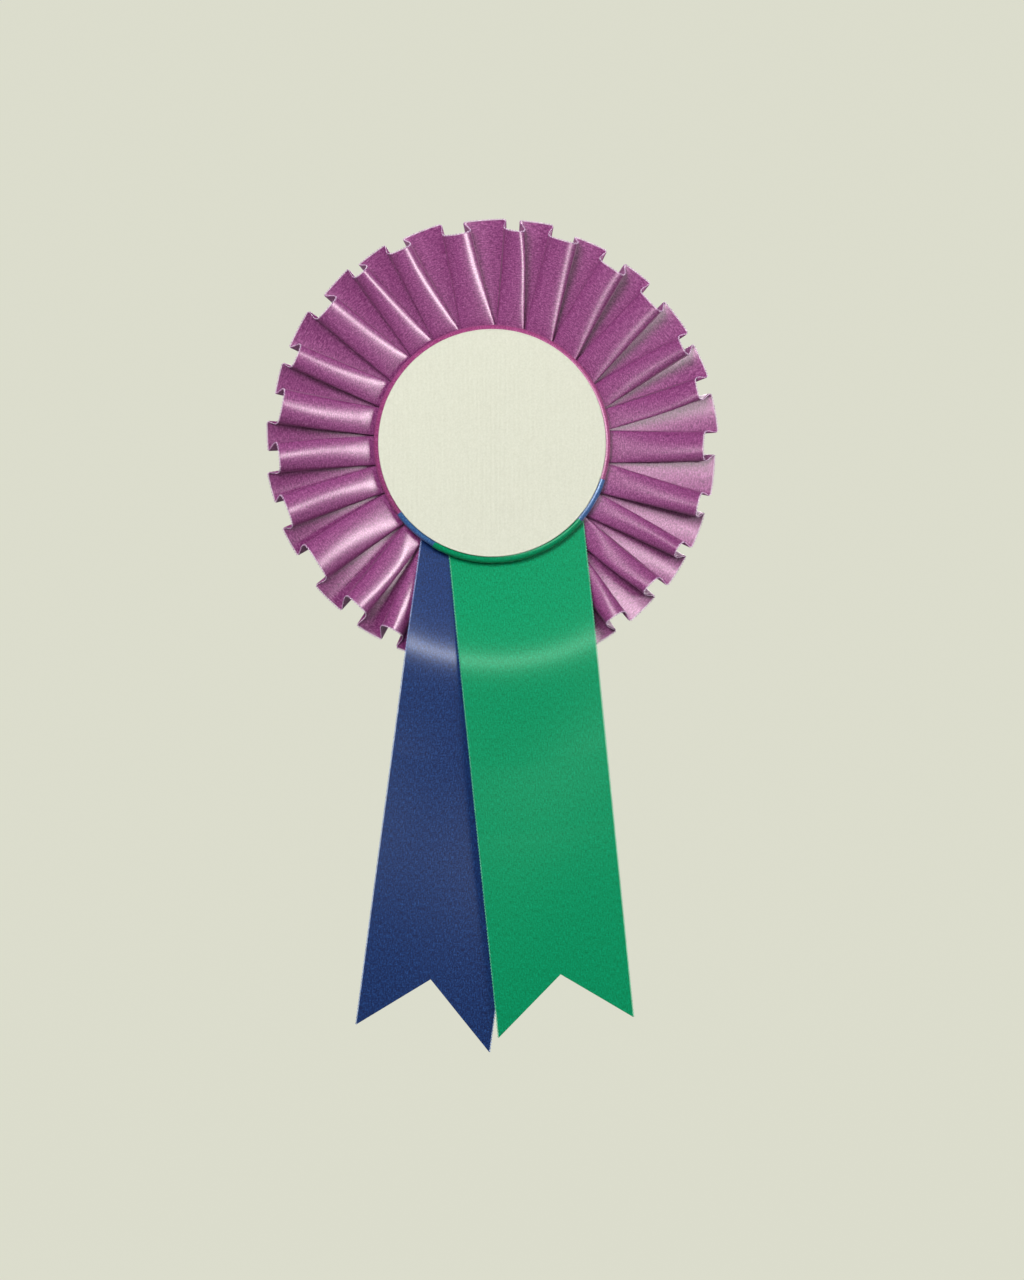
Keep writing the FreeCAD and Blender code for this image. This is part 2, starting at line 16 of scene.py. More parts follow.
import bmesh
import bpy
import numpy as np
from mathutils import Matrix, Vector


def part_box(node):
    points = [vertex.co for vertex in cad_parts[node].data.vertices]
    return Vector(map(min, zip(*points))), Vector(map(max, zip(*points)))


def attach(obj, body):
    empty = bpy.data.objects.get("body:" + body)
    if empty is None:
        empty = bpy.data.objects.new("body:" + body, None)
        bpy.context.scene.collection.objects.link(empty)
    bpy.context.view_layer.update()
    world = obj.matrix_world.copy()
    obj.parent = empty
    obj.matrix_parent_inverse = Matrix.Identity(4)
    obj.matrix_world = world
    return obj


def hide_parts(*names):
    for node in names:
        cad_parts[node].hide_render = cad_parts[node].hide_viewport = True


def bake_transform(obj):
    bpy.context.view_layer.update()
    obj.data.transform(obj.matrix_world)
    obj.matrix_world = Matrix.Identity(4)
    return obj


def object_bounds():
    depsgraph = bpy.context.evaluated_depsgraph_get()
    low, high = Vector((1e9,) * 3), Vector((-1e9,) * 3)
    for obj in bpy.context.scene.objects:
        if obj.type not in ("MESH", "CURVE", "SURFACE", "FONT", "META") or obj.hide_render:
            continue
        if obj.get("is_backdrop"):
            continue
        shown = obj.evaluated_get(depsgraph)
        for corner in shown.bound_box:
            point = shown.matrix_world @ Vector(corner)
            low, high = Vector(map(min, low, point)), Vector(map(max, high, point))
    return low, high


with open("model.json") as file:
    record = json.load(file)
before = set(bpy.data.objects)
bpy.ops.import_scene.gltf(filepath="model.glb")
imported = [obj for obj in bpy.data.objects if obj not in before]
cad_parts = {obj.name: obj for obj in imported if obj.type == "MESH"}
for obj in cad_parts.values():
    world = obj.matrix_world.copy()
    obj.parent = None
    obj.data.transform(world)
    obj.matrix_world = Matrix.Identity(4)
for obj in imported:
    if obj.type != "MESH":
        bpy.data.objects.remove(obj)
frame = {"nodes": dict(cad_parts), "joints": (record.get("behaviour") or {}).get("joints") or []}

cad_box = [list(map(float, corner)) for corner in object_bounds()]
MM = 0.001
chance = np.random.default_rng(38)
print("CAD box in mm:", np.round(np.array(cad_box) / MM, 1).tolist())

# %% [markdown]
# ## Sizes read from the frame
#
# The cloth has to sit exactly where the CAD solids are, so radii and depths are
# measured on the nodes. A depth is a distance in front of the rear card's back,
# which is y = 0, so depth = -y.

# %% Measures of the head and the tails
def depth_span(node):
    """Least and greatest depth of a CAD node, in mm."""
    low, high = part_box(node)
    return -high[1] / MM, -low[1] / MM


def half_width(node):
    """Half a node's size along X, in mm."""
    low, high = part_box(node)
    return (high[0] - low[0]) / 2 / MM


PLEAT_RADIUS = half_width("pleated_ribbon")
HOLE_RADIUS = half_width("foam_pad")
RIBBON_WIDTH = PLEAT_RADIUS - HOLE_RADIUS
BUTTON_RADIUS = half_width("button_cover")
FACE_RADIUS = half_width("face_disc") + 0.2
STACK_BACK, STACK_FRONT = depth_span("foam_pad")
COVER_BACK, COVER_FRONT = depth_span("button_cover")
FACE_BACK, FACE_FRONT = depth_span("face_disc")
hinge = next(j for j in frame["joints"] if j["name"] == "blue_tail_bend")
HINGE_DROP = -hinge["pos_m"][2] / MM
print(f"head radius {PLEAT_RADIUS:.1f}, ribbon {RIBBON_WIDTH:.1f}, hinge drop {HINGE_DROP:.2f} mm")

# %% [markdown]
# ## Camera, light and floor
#
# A rosette is shown face on. A long lens keeps the head round. Satin needs two
# kinds of light: a large panel in front that shows its dye, and a small one on
# the right that makes it flash along its folds. So each panel can be limited to
# diffuse or to glossy light. A fill on the right and two panels behind do the
# rest, and a pale room goes all round.

# %% Camera, panels and floor
def aim(thing, target):
    """Turn an object so that its -Z axis points at a place."""
    direction = Vector(target) - thing.location
    thing.rotation_euler = direction.to_track_quat("-Z", "Y").to_euler()


def panel_light(name, azimuth, elevation, distance, size, watts, diffuse=True, glossy=True,
                target=(0, 0, -0.04)):
    """Place a soft panel round the head; azimuth 0 is in front, 90 to the right."""
    data = bpy.data.lights.new(name, "AREA")
    data.shape = "RECTANGLE"
    data.size, data.size_y = size
    data.energy = watts
    lamp = bpy.data.objects.new(name, data)
    side, up = math.radians(azimuth), math.radians(elevation)
    lamp.location = (
        distance * math.cos(up) * math.sin(side),
        -distance * math.cos(up) * math.cos(side),
        distance * math.sin(up) + target[2],
    )
    lamp.visible_diffuse, lamp.visible_glossy, lamp.visible_camera = diffuse, glossy, False
    bpy.context.scene.collection.objects.link(lamp)
    aim(lamp, target)


KEY_WATTS, GLEAM_WATTS, FILL_WATTS = 14, 18, 8
BACK_WATTS, BACK_GLEAM_WATTS = 13, 12

VIEW_CENTRE = (5.6 * MM, 0.0, -55.3 * MM)
VIEW_HEIGHT = 359 * MM
VIEW_DISTANCE = 1.25
SUBJECT_DEPTH = 9 * MM

camera_data = bpy.data.cameras.new("camera")
camera_data.sensor_fit = "VERTICAL"
camera_data.sensor_height = 24.0
camera_data.lens = camera_data.sensor_height * (VIEW_DISTANCE - SUBJECT_DEPTH) / VIEW_HEIGHT
camera = bpy.data.objects.new("camera", camera_data)
camera.location = (VIEW_CENTRE[0], -VIEW_DISTANCE, VIEW_CENTRE[2])
camera.rotation_euler = (math.pi / 2, 0, 0)
bpy.context.scene.collection.objects.link(camera)
bpy.context.scene.camera = camera
bpy.context.scene.view_settings.view_transform = "Standard"

panel_light("key_panel", -14, 24, 1.1, (0.5, 0.5), KEY_WATTS, glossy=False)
panel_light("gleam_panel", 38, 5.5, 1.1, (0.34, 0.12), GLEAM_WATTS, diffuse=False)
panel_light("fill_panel", 50, 10, 1.5, (0.9, 0.9), FILL_WATTS, glossy=False)
panel_light("back_panel", 165, 35, 1.3, (0.8, 0.8), BACK_WATTS)
panel_light("back_gleam_panel", 180, 8, 1.6, (3.4, 1.6), BACK_GLEAM_WATTS, diffuse=False)
print("lens", round(camera_data.lens, 1), "mm and five panels")

# %% [markdown]
# ## Colour and nodes
#
# Colours are written as the hex values a dyer's card would give, and one
# function turns them to the linear light that shaders work in. One more adds a
# node with its settings and links, so each material below reads as a recipe.

# %% Colour and node helpers
def linear(hex_colour, alpha=1.0):
    """Turn an sRGB hex colour into linear red, green, blue and alpha."""
    values = [int(hex_colour[i:i + 2], 16) / 255 for i in (0, 2, 4)]
    return [((v + 0.055) / 1.055) ** 2.4 if v > 0.04045 else v / 12.92 for v in values] + [alpha]


def add_node(tree, kind, links=None, **settings):
    """Add a node, set its properties or sockets by name, and link sockets into it."""
    node = tree.nodes.new(kind)
    for name, value in settings.items():
        if hasattr(node, name):
            setattr(node, name, value)
        else:
            node.inputs[name.replace("_", " ")].default_value = value
    for name, source in (links or {}).items():
        tree.links.new(source, node.inputs[name])
    return node


def new_material(name, **shader):
    """Start a material with a Principled shader set to constant values."""
    material = bpy.data.materials.new(name)
    material.use_nodes = True
    tree = material.node_tree
    surface = tree.nodes["Principled BSDF"]
    for socket, value in shader.items():
        surface.inputs[socket.replace("_", " ")].default_value = value
    return material, tree, surface


def colour_steps(tree, source, stops):
    """Map a 0 to 1 value to colours through a ramp of (position, hex) stops."""
    ramp = add_node(tree, "ShaderNodeValToRGB", {"Fac": source})
    while len(ramp.color_ramp.elements) < len(stops):
        ramp.color_ramp.elements.new(0.5)
    for element, (place, colour) in zip(ramp.color_ramp.elements, stops):
        element.position = place
        element.color = linear(colour)
    return ramp.outputs["Color"]


# %% [markdown]
# ## A light tent
#
# A small shiny cloth thing is shown in a tent: a pale floor that sweeps up into a
# pale wall all round, so no edge shows from any side and soft light comes from
# everywhere. It is a profile turned round the upright axis: flat floor, a quarter
# circle, then the wall. It glows, as a lit tent does, but it is hidden from
# diffuse and glossy rays, so it is only a backdrop. The room's own weak light
# stands in for it on the rosette.

# %% Floor that sweeps into a wall
FLOOR_DROP, FLOOR_RADIUS, SWEEP, WALL_TOP = 0.50, 1.9, 0.8, 2.6
FLOOR_START = 0.001
TURN_STEPS = 96
TENT_GLOW, ROOM_GLOW = 0.87, 0.24


def make_tent():
    """Turn the floor and wall profile round Z; points are radius and height in metres."""
    bend = np.linspace(0, np.pi / 2, 13)
    radius = np.concatenate([[FLOOR_START, FLOOR_RADIUS], FLOOR_RADIUS + SWEEP * np.sin(bend[1:]),
                             [FLOOR_RADIUS + SWEEP]])
    height = np.concatenate([[0, 0], SWEEP - SWEEP * np.cos(bend[1:]), [WALL_TOP]]) - FLOOR_DROP
    turn = np.linspace(0, 2 * np.pi, TURN_STEPS, endpoint=False)[:, None]
    points = np.stack([radius * np.cos(turn), radius * np.sin(turn),
                       height + 0 * turn], axis=2)
    count = len(radius)
    step, place = np.meshgrid(np.arange(TURN_STEPS), np.arange(count - 1), indexing="ij")
    step, place = step.ravel(), place.ravel()
    after = (step + 1) % TURN_STEPS
    faces = np.stack([step * count + place, step * count + place + 1,
                      after * count + place + 1, after * count + place], axis=1)
    mesh = bpy.data.meshes.new("tent")
    mesh.from_pydata(points.reshape(-1, 3).tolist(), [], faces[:, ::-1].tolist())
    mesh.polygons.foreach_set("use_smooth", np.ones(len(faces), bool))
    tent = bpy.data.objects.new("tent", mesh)
    bpy.context.scene.collection.objects.link(tent)
    return tent


# Matt woven polyester, lit from outside: no gloss, and an even pale glow.
tent_cloth, _, _ = new_material(
    "pale_tent_cloth", Base_Color=linear("4C4C47"), Roughness=0.95, Specular_IOR_Level=0.1,
    Emission_Color=linear("E6E7D6"), Emission_Strength=TENT_GLOW)
tent = make_tent()
tent.data.materials.append(tent_cloth)
tent.visible_diffuse = False
tent.visible_glossy = False
tent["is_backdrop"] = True
world = bpy.data.worlds.new("room")
world.use_nodes = True
room_light = world.node_tree.nodes["Background"]
room_light.inputs["Color"].default_value = linear("E8E7EA")
room_light.inputs["Strength"].default_value = ROOM_GLOW
bpy.context.scene.world = world
print("tent:", len(tent.data.polygons), "faces")

# %% [markdown]
# ## Satin ribbon
#
# Woven-edge satin is polyester: long warp floats run the length of the ribbon,
# so light skids along them. Across the floats it scatters, and the flash is a
# streak at right angles to the threads. The cloth's UV map is in metres, U
# across the ribbon and V along it, so the shader's tangent is across the
# threads and that is the way the highlight is stretched. Threads are about
# 0.1 mm, too fine to show, so the grain is drawn at 0.3 mm.

# %% Satin material
THREAD = 0.3 * MM
SLUB = 1.3 * MM
GRAIN = 0.45 * MM


def make_satin(name, dark, middle, light, gleam, strength, roughness, stretch, metal, coat):
    """Satin: warp streaks in colour and bump, a fine grain and a bright sheen.

    The height is the mean of two noises, one drawn out along the warp and one
    even. It picks the colour between dark, middle and light, and it is the bump.
    """
    material, tree, surface = new_material(
        name, Roughness=roughness, Anisotropic=stretch, Specular_IOR_Level=strength,
        Sheen_Weight=0.05, Sheen_Roughness=0.5, Sheen_Tint=linear(gleam),
        Specular_Tint=linear(gleam), Metallic=metal,
        Coat_Weight=coat, Coat_Roughness=0.42,
    )
    tangent = add_node(tree, "ShaderNodeTangent", direction_type="UV_MAP", uv_map="cloth")
    tree.links.new(tangent.outputs["Tangent"], surface.inputs["Tangent"])
    cloth = add_node(tree, "ShaderNodeUVMap", uv_map="cloth").outputs["UV"]
    along = add_node(tree, "ShaderNodeMapping", {"Vector": cloth},
                     Scale=(1 / THREAD, 1 / SLUB, 1))
    warp = add_node(tree, "ShaderNodeTexNoise", {"Vector": along.outputs[0]},
                    Scale=1.0, Detail=3.0, Roughness=0.65)
    fine = add_node(tree, "ShaderNodeMapping", {"Vector": cloth},
                    Scale=(1 / GRAIN, 1 / GRAIN, 1))
    grain = add_node(tree, "ShaderNodeTexNoise", {"Vector": fine.outputs[0]},
                     Scale=1.0, Detail=2.0, Roughness=0.7)
    both = add_node(tree, "ShaderNodeMath",
                    {0: warp.outputs["Fac"], 1: grain.outputs["Fac"]}, operation="ADD")
    half = add_node(tree, "ShaderNodeMath", {0: both.outputs[0]}, operation="MULTIPLY")
    half.inputs[1].default_value = 0.5
    colour = colour_steps(tree, half.outputs[0], [(0.38, dark), (0.5, middle), (0.62, light)])
    tree.links.new(colour, surface.inputs["Base Color"])
    bump = add_node(tree, "ShaderNodeBump", {"Height": half.outputs[0]},
                    Strength=0.22, Distance=0.08 * MM)
    tree.links.new(bump.outputs["Normal"], surface.inputs["Normal"])
    return material


# Disperse-dyed polyester: the dye is inside the fibre, so the colour is deep and
# the surface stays clear. Filaments are smooth, which gives the pale flash.
purple_satin = make_satin("purple_polyester_satin", "560C48", "80346E", "A66492", "FFF6F4",
                          strength=1.0, roughness=0.46, stretch=0.65, metal=0.08, coat=0.4)
# A lighter, redder copy of the same satin for the button's edge: painted light, standing in for
# light falling on the rim.
painted_light_purple_rim = make_satin("purple_button_satin_painted_lighter", "742054", "923A70", "AE5A8C", "FFF4F4",
                       strength=0.6, roughness=0.45, stretch=0.65, metal=0.1, coat=0.2)
# The tails hang nearly flat, so their flash is one narrow band across the ribbon.
blue_satin = make_satin("blue_polyester_satin", "00123F", "06275B", "1E4682", "F4F6FA",
                        strength=0.8, roughness=0.36, stretch=0.88, metal=0.1, coat=0.0)
# A lighter copy of the blue satin for the button's rolled edge: a painted highlight where the edge
# catches light.
painted_light_blue_rim = make_satin("blue_button_satin_painted_lighter", "183E76", "2E5E94", "5482AE", "F4F6FA",
                            strength=0.8, roughness=0.36, stretch=0.65, metal=0.1, coat=0.0)
green_satin = make_satin("green_polyester_satin", "007044", "008354", "049666", "C9F2E0",
                         strength=0.35, roughness=0.38, stretch=0.88, metal=0.05, coat=0.0)
print("satin in three dyes, and two of them as the button's rim")


YARN_TWIST = 0.4 * MM


def make_yarn(name, dark, light):
    """Selvedge yarn: matt twisted filament, its tone broken at loop scale."""
    material, tree, surface = new_material(name, Roughness=0.6, Specular_IOR_Level=0.4)
    place = add_node(tree, "ShaderNodeTexCoord").outputs["Object"]
    twist = add_node(tree, "ShaderNodeTexNoise", {"Vector": place},
                     Scale=1 / YARN_TWIST, Detail=2.0, Roughness=0.5)
    colour = colour_steps(tree, twist.outputs["Fac"], [(0.35, dark), (0.65, light)])
    tree.links.new(colour, surface.inputs["Base Color"])
    return material


# A selvedge is the weft turning back, seen end on. It catches light from all
# sides, so it looks paler and duller than the face of the satin.
purple_yarn = make_yarn("purple_selvedge_yarn", "A272A0", "E2C8DC")
blue_yarn = make_yarn("blue_selvedge_yarn", "3C5F99", "A9BCDC")
green_yarn = make_yarn("green_selvedge_yarn", "0A9A66", "66C79B")

# %% [markdown]
# ## Grids of points
#
# Every cloth piece is a rectangular grid of points bent into shape. These
# functions join the grid's points into quads and give them a UV map in metres.
# A grid can close on itself in its first direction, as a ring does. A thread is
# a small circle carried along a path.

# %% Grid and tube meshes
CLOTH = 0.22          # thickness of the ribbon in mm


def new_piece(name, points, faces, material):
    """Make an object from points in mm and faces, shaded smooth."""
    mesh = bpy.data.meshes.new(name)
    mesh.from_pydata((points * MM).tolist(), [], [list(face) for face in faces])
    mesh.polygons.foreach_set("use_smooth", np.ones(len(faces), bool))
    mesh.materials.append(material)
    mesh.update()
    piece = bpy.data.objects.new(name, mesh)
    bpy.context.scene.collection.objects.link(piece)
    return piece


def unit(vectors):
    """Scale vectors to length one."""
    return vectors / np.linalg.norm(vectors, axis=-1, keepdims=True)


def grid_faces(rows, columns):
    """Corner indices of a grid's quads, facing along (down the rows) x (along a row)."""
    i, j = np.meshgrid(np.arange(rows - 1), np.arange(columns - 1), indexing="ij")
    first = (i * columns + j).ravel()
    return np.stack([first, first + columns, first + columns + 1, first + 1], axis=1)


def grid_normals(points, ring):
    """Unit normals: the cross product of the steps down the rows and along them."""
    padded = np.concatenate([points[-1:], points, points[:1]]) if ring else points
    down = np.gradient(padded, axis=0)
    down = down[1:-1] if ring else down
    return unit(np.cross(down, np.gradient(points, axis=1)))


def edge_faces(line, back, flip):
    """Quads between a line of front indices and the same line of the back layer."""
    quads = np.stack([line[:-1], line[:-1] + back, line[1:] + back, line[1:]], axis=1)
    return quads[:, ::-1] if flip else quads


def cloth_grid(name, points, across, along, material, ring=False, thickness=CLOTH):
    """Mesh a grid of cloth as two layers and a rim; across and along, in mm, are its UV.

    The back layer is the front one moved back along its normals by the thickness.
    across and along have one row more than the points if the grid is a ring, so
    that the last quads run on instead of jumping back to the start.
    """
    rows, columns, _ = points.shape
    long_rows = len(across)
    layer = long_rows * columns
    index = np.arange(layer).reshape(long_rows, columns)
    front = grid_faces(long_rows, columns)
    rim = [edge_faces(index[:, 0], layer, False), edge_faces(index[:, -1], layer, True)]
    if not ring:
        rim += [edge_faces(index[0], layer, True), edge_faces(index[-1], layer, False)]
    faces = np.concatenate([front, front[:, ::-1] + layer, *rim])
    flat = np.stack([across.ravel(), along.ravel()], axis=1)
    flat = np.concatenate([flat, flat + thickness])
    flat_faces = flat[faces.ravel()]
    flat_faces[4 * len(front):8 * len(front)] -= thickness
    place = (faces % layer // columns % rows) * columns + faces % columns
    place += (faces // layer) * rows * columns
    behind = points - grid_normals(points, ring) * thickness
    both = np.concatenate([points.reshape(-1, 3), behind.reshape(-1, 3)])
    piece = new_piece(name, both, place, material)
    rounded = np.arange(len(faces)) < 2 * len(front)
    piece.data.polygons.foreach_set("use_smooth", rounded)
    uv_map = piece.data.uv_layers.new(name="cloth")
    uv_map.data.foreach_set("uv", (flat_faces * MM).ravel())
    return piece


def tube(name, path, outward, radius, material, closed=False, sides=6):
    """Carry a small circle along a path; outward is roughly across the path."""
    ahead = np.roll(path, -1, axis=0) - np.roll(path, 1, axis=0)
    if not closed:
        ahead[0], ahead[-1] = path[1] - path[0], path[-1] - path[-2]
    ahead = unit(ahead)
    out = unit(outward - ahead * np.sum(outward * ahead, axis=1, keepdims=True))
    side = np.cross(ahead, out)
    turn = np.linspace(0, 2 * np.pi, sides, endpoint=False)[None, :, None]
    points = path[:, None] + radius * (np.cos(turn) * out[:, None] + np.sin(turn) * side[:, None])
    rows = len(path) + closed
    faces = grid_faces(rows, sides + 1)
    faces = (faces // (sides + 1) % len(path)) * sides + faces % (sides + 1) % sides
    if closed:
        return new_piece(name, points.reshape(-1, 3), faces, material)
    tips = np.stack([path[0], path[-1]])
    count = len(path) * sides
    first, last = np.arange(sides), np.arange(sides) + count - sides
    caps = [np.stack([first, np.roll(first, -1), np.full(sides, count)], axis=1),
            np.stack([np.roll(last, -1), last, np.full(sides, count + 1)], axis=1)]
    points = np.concatenate([points.reshape(-1, 3), tips])
    faces = faces.tolist() + caps[0].tolist() + caps[1].tolist()
    return new_piece(name, points, faces, material)


def hold_edges(values, margin):
    """Add a value just inside each end, so a cloth's edge keeps its shading flat."""
    return np.concatenate([values[:1], [values[0] + margin], values[1:-1],
                           [values[-1] - margin], values[-1:]])


def lengths_along(points):
    """Running length down each column of a grid, averaged to one value per row."""
    steps = np.linalg.norm(np.diff(points, axis=0), axis=2)
    return np.concatenate([[0.0], np.cumsum(steps.mean(axis=1))])


# %% [markdown]
# ## How the tails rise over the pleats
#
# Both tails leave from under the button, climb the pleats, bend over their
# round outer edge and hang back. Their depth is a function of the distance from
# the head's centre, so that the bend follows the round edge: level, then a
# climb that starts softly, then a soft turn down. A softplus, log(1 + e^x), is a
# ramp with a rounded corner, and two of them make that path. A shared slow wave
# keeps the two ribbons from crossing. Lengths are in mm, and climb and fall are
# rises per mm of distance.

# %% Depth of the tails
CLIMB_START = HINGE_DROP - 2.9
CREST = 61.0
CLIMB = 0.262
FALL = 0.085
CORNER, TURN = 0.6, 3.2
SWING, SWING_LENGTH = 1.1, 118.0


def ramp(distance, start, softness):
    """A ramp of slope one after start, its corner rounded over a distance."""
    return softness * np.logaddexp(0, (distance - start) / softness)


def blue_depth(x, z):
    """Level, plus a soft climb from the button's edge, less a softer turn down.

    Past the crest the cloth swings back and forward in one slow sine wave.
    """
    away = np.hypot(x, z)
    past = ramp(away, CREST, TURN)
    climbing = CLIMB * ramp(away, CLIMB_START, CORNER)
    path = STACK_FRONT + 0.15 + climbing - (CLIMB + FALL) * past
    cup = 0.3 * np.sin(x / 9.0 + away / 21.0) * np.clip(past / 30, 0, 1) ** 2
    return path - SWING * np.sin(2 * np.pi * past / SWING_LENGTH) + cup


def green_depth(x, z):
    """The blue path, further forward where the green ribbon bows away from it."""
    away = np.hypot(x, z)
    gap = 0.36 + 0.5 * np.clip((away - CLIMB_START) / 25, 0, 1)
    bow = 1.9 * np.exp(-((away - 108) / 34) ** 2)
    tip = 1.1 * np.clip((away - 110) / 60, 0, 1)
    return blue_depth(x, z) + gap + bow + tip


# %% [markdown]
# ## Box pleats
#
# The head is one ribbon folded into 26 box pleats. From left to right each
# pleat is: the front panel, a fold back under it, the recess behind, and a fold
# forward to the next panel. The maker lays them by eye, so no two are alike:
# the list gives each panel's left and right fold at the outer edge and its
# right fold at the button, in degrees clockwise from the top. Four panels are
# hidden behind the tails.
#
# A cloth simulation would have to fold a 78 cm ribbon 52 times, so the folds are
# laid directly: four corners a pleat, straight between them, softened by a
# running average that rounds each fold like cloth.

# %% Fold lines
PLEATS = np.array([
    (3, 9, 16), (15, 23.5, 31), (30, 38.5, 45.5), (44, 52.5, 60), (60, 66, 73),
    (72, 78.5, 83.5), (86.5, 95, 99.8), (103, 110, 115), (117, 122, 128),
    (128.5, 135, 140), (141.5, 148, 152), (154, 161, 165), (167, 174, 178),
    (180, 187, 190.5), (192, 199, 203), (204.5, 211.5, 215.5), (216, 224, 227.5),
    (230.5, 242, 245.5), (247, 256.5, 259.5), (262, 270.5, 274), (275, 285, 288),
    (290.5, 297.5, 301.5), (305, 313.5, 317), (320, 325, 330.5), (331, 338, 344.5),
    (346.5, 354.5, 362),
])
PLEAT_COUNT = len(PLEATS)
left_fold, right_fold, right_tuck = PLEATS.T
next_left = np.append(left_fold[1:], left_fold[0] + 360)
left_tuck = np.append(right_tuck[-1] - 360, right_tuck[:-1])
HOLE_LEAN = 0.28      # how far a fold line runs on from the button's edge to the hole
print(f"{PLEAT_COUNT} pleats, front panels {np.mean(right_fold - left_fold):.1f} degrees wide")

# %% Corners of every pleat
FRONT_STEPS, UNDER_STEPS, RECESS_STEPS = 26, 7, 18
ROWS = 27


def per_pleat(low, high):
    """One value a pleat, spread evenly at random between two limits."""
    return chance.uniform(low, high, PLEAT_COUNT)


corner_outer_angle = np.stack([
    left_fold, right_fold, right_fold - per_pleat(1.6, 2.6), next_left + per_pleat(0.5, 1.1),
], axis=1)
corner_tuck_angle = np.stack([
    left_tuck - 0.6, right_tuck + 0.3,
    right_tuck - per_pleat(5.6, 6.6), right_tuck + per_pleat(4.8, 5.8),
], axis=1)
# On the left the pleats stand open at their lower fold; on the right they lie closed.
stand_open = np.clip(0.4 + 0.9 * np.cos(np.radians(left_fold - 250)), 0, 1)
front_reach = per_pleat(59.9, 60.9)
recess_reach = per_pleat(PLEAT_RADIUS - 0.5, PLEAT_RADIUS + 0.3)
corner_reach = np.stack([front_reach, front_reach + per_pleat(-0.5, 0.4),
                         recess_reach - 0.4, recess_reach], axis=1)
fold_height = per_pleat(5.9, 7.0)
left_height = fold_height - 1.8 + 1.3 * stand_open
corner_depth = np.stack([left_height, fold_height, 3.1 - 1.3 * stand_open,
                         np.roll(left_height - 0.5, -1)], axis=1)
corner_stack = np.tile([3.55, 3.8, 3.1, 2.75], (PLEAT_COUNT, 1))

# %% [markdown]
# Between the corners the cloth isn't flat. A front panel is puffed: across its
# width the rise follows a superellipse, (1 - |x|^p)^(1/p), flat in the middle
# and rolled at both folds. The recess sinks a little. Both grow from nothing at
# the button to their most at the outer edge.

# %% Lay the folds along the ribbon
def spread(corners, wrap_by=0.0):
    """Interpolate four corners a pleat to every step along the ribbon."""
    steps = np.array([FRONT_STEPS, UNDER_STEPS, RECESS_STEPS, UNDER_STEPS])
    starts = np.concatenate([[0], np.cumsum(np.tile(steps, PLEAT_COUNT))])
    values = np.append(corners.ravel(), corners[0, 0] + wrap_by)
    return np.interp(np.arange(starts[-1]), starts, values)


def soften(values, passes, wrap_by=0.0):
    """Round corners with a running average over three steps, round the ring."""
    for _ in range(passes):
        before = np.roll(values, 1, axis=0)
        after = np.roll(values, -1, axis=0)
        if wrap_by:
            before[0] -= wrap_by
            after[-1] += wrap_by
        values = 0.25 * before + 0.5 * values + 0.25 * after
    return values


steps_a_pleat = FRONT_STEPS + 2 * UNDER_STEPS + RECESS_STEPS
step = np.arange(steps_a_pleat * PLEAT_COUNT)
in_pleat = step % steps_a_pleat
pleat_number = step // steps_a_pleat
front_share = np.clip(in_pleat / FRONT_STEPS, 0, 1)
recess_share = np.clip((in_pleat - FRONT_STEPS - UNDER_STEPS) / RECESS_STEPS, 0, 1)
roundness = per_pleat(1.9, 2.4)[pleat_number]
puff = (1 - np.abs(2 * front_share - 1) ** roundness) ** (1 / roundness)
sink = np.sin(np.pi * recess_share)
puff_height = per_pleat(3.0, 4.0)[pleat_number]
sink_depth = per_pleat(0.5, 1.2)[pleat_number]

outer_angle = soften(spread(corner_outer_angle, 360.0), 2, 360.0)
tuck_angle = soften(spread(corner_tuck_angle, 360.0), 2, 360.0)
reach = soften(spread(corner_reach) - 1.0 * puff, 2)
outer_depth = soften(spread(corner_depth), 2)
stack_depth = soften(spread(corner_stack), 2)

# %% Bend the ribbon's width out from the button
width_share = hold_edges(np.linspace(0, 1, ROWS) ** 0.92, 0.003)
tuck_radius = BUTTON_RADIUS + 0.4
outer_point = np.stack([reach * np.sin(np.radians(outer_angle)),
                        reach * np.cos(np.radians(outer_angle))], axis=1)
tuck_point = tuck_radius * np.stack([np.sin(np.radians(tuck_angle)),
                                     np.cos(np.radians(tuck_angle))], axis=1)
hole_angle = np.radians(tuck_angle + HOLE_LEAN * (tuck_angle - outer_angle))
hole_point = HOLE_RADIUS * np.stack([np.sin(hole_angle), np.cos(hole_angle)], axis=1)
tuck_share = (tuck_radius - HOLE_RADIUS) / (reach - HOLE_RADIUS)

share = width_share[None, :]
sway = np.radians(per_pleat(-1.3, 1.3))[pleat_number]
inner_part = np.clip(share / tuck_share[:, None], 0, 1)[..., None]
outer_part = np.clip((share - tuck_share[:, None]) / (1 - tuck_share[:, None]), 0, 1)
plan = hole_point[:, None] + (tuck_point - hole_point)[:, None] * inner_part
plan = plan + (outer_point - tuck_point)[:, None] * outer_part[..., None]
turned = sway[:, None] * np.sin(np.pi * outer_part) * puff[:, None]
plan = np.stack([plan[..., 0] * np.cos(turned) + plan[..., 1] * np.sin(turned),
                 plan[..., 1] * np.cos(turned) - plan[..., 0] * np.sin(turned)], axis=2)

rise = outer_part ** 0.88
bulge = 0.16 * inner_part[..., 0] + 0.84 * outer_part ** 0.7
depth = stack_depth[:, None] + (outer_depth - stack_depth)[:, None] * rise
depth = depth + (puff * puff_height)[:, None] * bulge * inner_part[..., 0]
depth = depth - (sink * sink_depth)[:, None] * outer_part

# %% [markdown]
# Under the tails the pleats are squashed. Each point's height above the card is
# scaled by one factor, the room under the blue tail over the height of an
# unpressed panel there, so the layers keep their order. The factor fades back to
# one a few millimetres outside the ribbons.

# %% Press the pleats under the tails
EDGE_X = RIBBON_WIDTH / 2
BLUE_LEAN, GREEN_LEAN = math.radians(7.7), math.radians(5.8)
BLUE_OFFSET, GREEN_OFFSET = 3.1, 4.1


